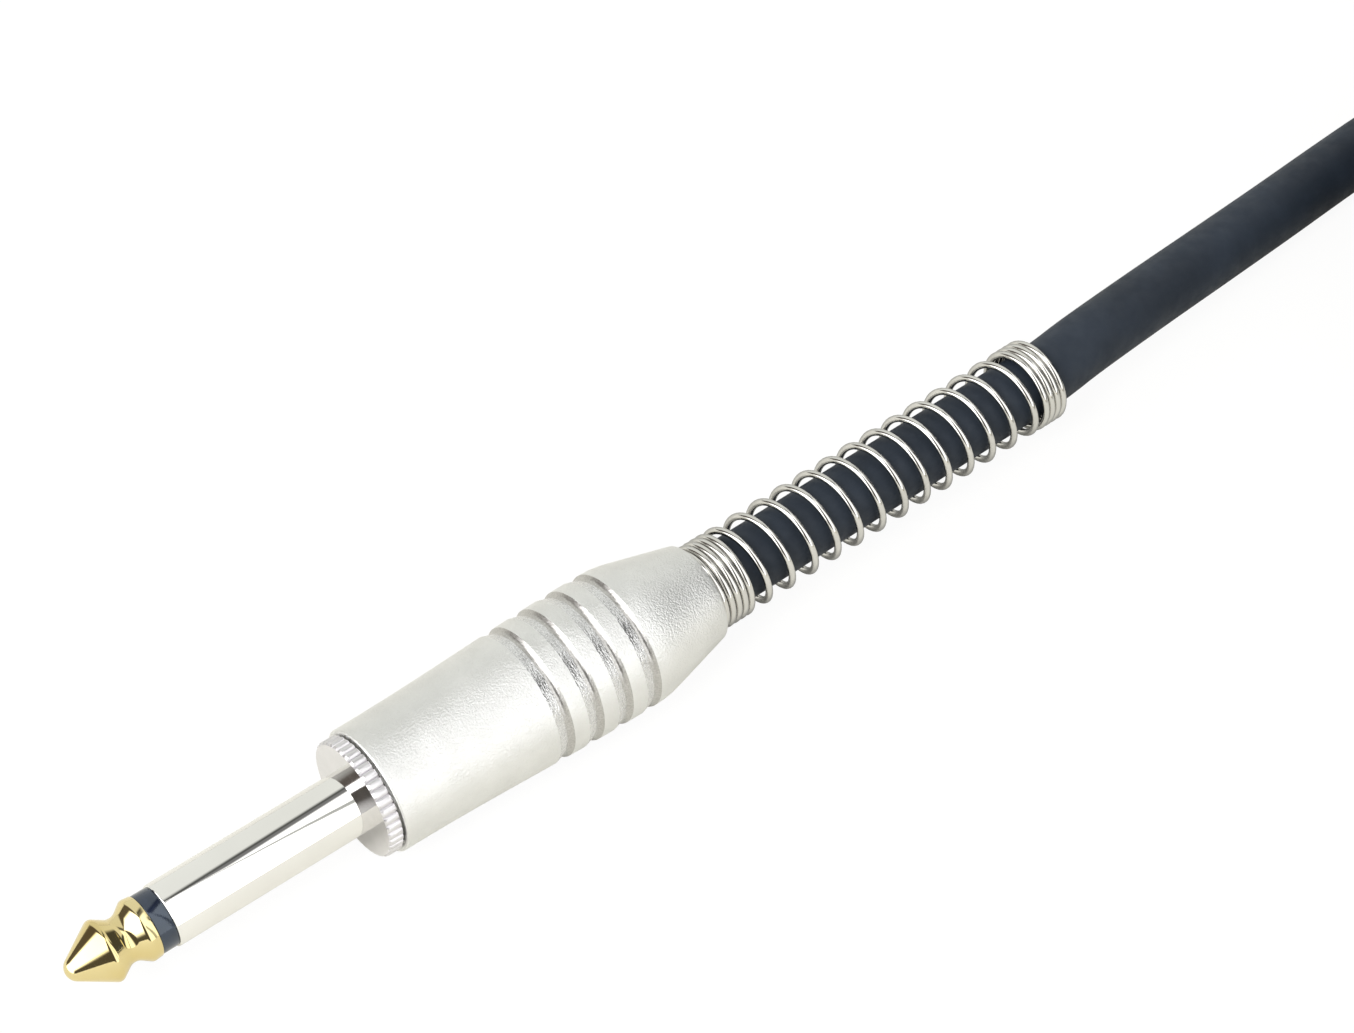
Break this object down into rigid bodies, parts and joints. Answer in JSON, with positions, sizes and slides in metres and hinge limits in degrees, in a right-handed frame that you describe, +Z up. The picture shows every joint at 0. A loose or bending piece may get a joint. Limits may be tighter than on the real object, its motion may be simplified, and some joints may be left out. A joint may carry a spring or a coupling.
{
  "type": "instrument cable",
  "caption": "Instrument cable with a straight quarter-inch phone plug at each end, its length folded into a tied hank; barrels unscrew with their strain relief springs.",
  "frame": {"origin": "centre of the near plug's collar face, on the plug's axis", "axes": "+X along the near plug towards its cable, +Z up from the surface that the cable lies on"},
  "size_m": [0.3068, 0.0841, 0.0344],
  "materials": {
    "gold_plate": "polished gold plate",
    "dark_insulator": "gloss moulded plastic",
    "white_insulator": "moulded",
    "polished_nickel": "polished nickel plate",
    "tinned_brass": "tinned",
    "clear_liner": "thin plastic tube",
    "core_insulation": "extruded",
    "copper": "bare copper",
    "satin_nickel": "satin, fine blasted nickel plate",
    "spring_nickel": "bright nickel-plated wire",
    "cable_jacket": "smooth matte jacket",
    "tie_fabric": "hook-and-loop strap"
  },
  "bodies": {
    "plug_and_cable": {"tip_contact": "gold_plate", "tip_ring_insulator": "dark_insulator", "rod_insulator": "white_insulator", "sleeve_contact": "polished_nickel", "ground_tag": "tinned_brass", "rear_insulator": "white_insulator", "tip_solder_tag": "tinned_brass", "liner_tube": "clear_liner", "cable_core": "core_insulation", "centre_conductor": "copper", "shield_pigtail": "copper", "cable_run": "cable_jacket", "cable_hank": "cable_jacket", "cable_tail": "cable_jacket", "cable_tie": "tie_fabric", "far_tip_contact": "gold_plate", "far_tip_ring_insulator": "dark_insulator", "far_rod_insulator": "white_insulator", "far_sleeve_contact": "polished_nickel", "far_ground_tag": "tinned_brass", "far_rear_insulator": "white_insulator", "far_tip_solder_tag": "tinned_brass", "far_liner_tube": "clear_liner", "far_cable_core": "core_insulation", "far_centre_conductor": "copper", "far_shield_pigtail": "copper"},
    "spring": {"strain_relief_spring": "spring_nickel"},
    "barrel": {"barrel": "satin_nickel"},
    "far_spring": {"far_strain_relief_spring": "spring_nickel"},
    "far_barrel": {"far_barrel": "satin_nickel"}
  },
  "joints": [
    {"name": "barrel_travel", "type": "slide", "parent": "plug_and_cable", "child": "spring", "axis": [1, 0, 0], "range_m": [0, 0.003]},
    {"name": "barrel_unscrew", "type": "hinge", "parent": "spring", "child": "barrel", "pos_m": [0, 0, 0], "axis": [1, 0, 0], "range_deg": [0, 1440]},
    {"name": "far_barrel_travel", "type": "slide", "parent": "plug_and_cable", "child": "far_spring", "axis": [1, 0, 0], "range_m": [0, 0.003]},
    {"name": "far_barrel_unscrew", "type": "hinge", "parent": "far_spring", "child": "far_barrel", "pos_m": [0.098, -0.0664, 0], "axis": [1, 0, 0], "range_deg": [0, 1440]}
  ],
  "couplings": [
    {"joint": "barrel_unscrew", "follows": "barrel_travel", "rad_per_m": 8377.6},
    {"joint": "far_barrel_unscrew", "follows": "far_barrel_travel", "rad_per_m": 8377.6}
  ]
}
